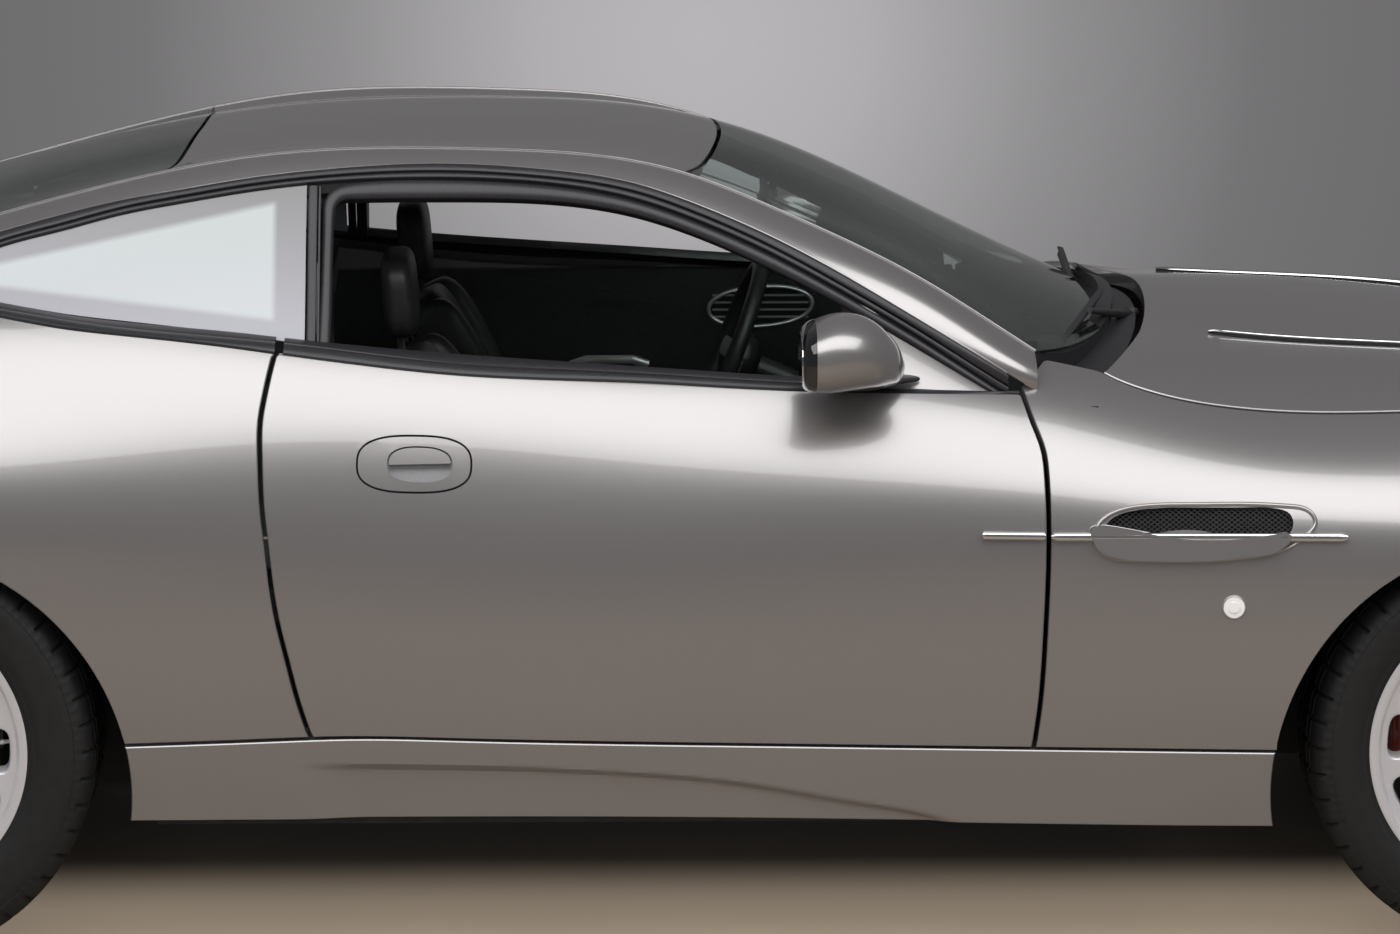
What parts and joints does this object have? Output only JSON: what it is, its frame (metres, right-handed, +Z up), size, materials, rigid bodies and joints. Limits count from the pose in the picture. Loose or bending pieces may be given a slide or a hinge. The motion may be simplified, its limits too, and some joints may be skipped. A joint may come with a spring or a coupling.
{
  "type": "coupe car",
  "caption": "Two-door grand-touring coupe with opening doors, bonnet and boot lid, steered front wheels, turning wheels, open cabin with leather seats and a coupled steering wheel.",
  "frame": {"origin": "on the ground under the middle of the car's overall length and width", "axes": "+X forward, +Y to the car's left, +Z up"},
  "size_m": [4.66, 2.0726, 1.318],
  "materials": {
    "paint": "silver-grey metallic under clear coat",
    "underbody": "satin black chassis coating",
    "arch_plastic": "black textured",
    "black_plastic": "black satin",
    "glass": "green tint",
    "lamp_clear": "clear cover",
    "lamp_red": "red lens",
    "bright_trim": "polished",
    "engine_metal": "cast",
    "exhaust_steel": "stainless",
    "leather_black": "black grained",
    "chassis_metal": "dark cast",
    "alloy": "silver lacquered",
    "tyre": "road tread",
    "disc_iron": "machined"
  },
  "bodies": {
    "body": {"centre_console": "black_plastic", "cowl": "black_plastic", "dashboard": "leather_black", "engine": "engine_metal", "exhaust": "exhaust_steel", "front_bumper": "paint", "front_seats": "leather_black", "front_suspension": "chassis_metal", "front_wings": "paint", "grille": "bright_trim", "headlamps": "lamp_clear", "parcel_shelf": "black_plastic", "quarter_glass": "glass", "rear_bumper": "paint", "rear_seats": "leather_black", "rear_suspension": "chassis_metal", "rear_window": "glass", "roof_panel": "paint", "side_frame_left": "paint", "side_frame_right": "paint", "sills": "paint", "tail_lamps": "lamp_red", "tub": "underbody", "wheelhouses": "arch_plastic", "windscreen": "glass", "wipers": "black_plastic"},
    "door_right": {"door_right": "paint", "door_trim_right": "leather_black", "mirror_right": "paint"},
    "door_left": {"door_left": "paint", "door_trim_left": "leather_black", "mirror_left": "paint"},
    "bonnet": {"bonnet": "paint"},
    "boot_lid": {"boot_lid": "paint"},
    "knuckle_front_right": {"knuckle_front_right": "chassis_metal"},
    "knuckle_front_left": {"knuckle_front_left": "chassis_metal"},
    "steering_wheel": {"steering_wheel": "leather_black"},
    "wheel_front_right": {"rim_front_right": "alloy", "tyre_front_right": "tyre", "brake_disc_front_right": "disc_iron"},
    "wheel_front_left": {"rim_front_left": "alloy", "tyre_front_left": "tyre", "brake_disc_front_left": "disc_iron"},
    "wheel_rear_right": {"rim_rear_right": "alloy", "tyre_rear_right": "tyre", "brake_disc_rear_right": "disc_iron"},
    "wheel_rear_left": {"rim_rear_left": "alloy", "tyre_rear_left": "tyre", "brake_disc_rear_left": "disc_iron"}
  },
  "joints": [
    {"name": "door_right_swing", "type": "hinge", "parent": "body", "child": "door_right", "pos_m": [0.505, -0.903, 0.56], "axis": [0, 0, 1], "range_deg": [0, 66]},
    {"name": "door_left_swing", "type": "hinge", "parent": "body", "child": "door_left", "pos_m": [0.505, 0.903, 0.56], "axis": [0, 0, -1], "range_deg": [0, 66]},
    {"name": "bonnet_lift", "type": "hinge", "parent": "body", "child": "bonnet", "pos_m": [0.765, 0, 0.926], "axis": [0, -1, 0], "range_deg": [0, 48]},
    {"name": "boot_lid_lift", "type": "hinge", "parent": "body", "child": "boot_lid", "pos_m": [-1.785, 0, 0.971], "axis": [0, 1, 0], "range_deg": [0, 64]},
    {"name": "steer_front_left", "type": "hinge", "parent": "body", "child": "knuckle_front_left", "pos_m": [1.4125, 0.695, 0.343], "axis": [0, 0, 1], "range_deg": [-31, 31]},
    {"name": "steer_front_right", "type": "hinge", "parent": "body", "child": "knuckle_front_right", "pos_m": [1.4125, -0.695, 0.343], "axis": [0, 0, 1], "range_deg": [-31, 31]},
    {"name": "steering_wheel_turn", "type": "hinge", "parent": "body", "child": "steering_wheel", "pos_m": [0.141, 0.375, 0.81], "axis": [-0.9336, 0, 0.3584], "range_deg": [-450, 450]},
    {"name": "wheel_front_left_spin", "type": "hinge", "parent": "knuckle_front_left", "child": "wheel_front_left", "pos_m": [1.4125, 0.775, 0.343], "axis": [0, 1, 0], "continuous": true},
    {"name": "wheel_front_right_spin", "type": "hinge", "parent": "knuckle_front_right", "child": "wheel_front_right", "pos_m": [1.4125, -0.775, 0.343], "axis": [0, 1, 0], "continuous": true},
    {"name": "wheel_rear_left_spin", "type": "hinge", "parent": "body", "child": "wheel_rear_left", "pos_m": [-1.2775, 0.79, 0.355], "axis": [0, 1, 0], "continuous": true},
    {"name": "wheel_rear_right_spin", "type": "hinge", "parent": "body", "child": "wheel_rear_right", "pos_m": [-1.2775, -0.79, 0.355], "axis": [0, 1, 0], "continuous": true}
  ],
  "couplings": [
    {"joint": "steer_front_right", "follows": "steer_front_left", "ratio": 1},
    {"joint": "steering_wheel_turn", "follows": "steer_front_left", "ratio": 14.5}
  ]
}
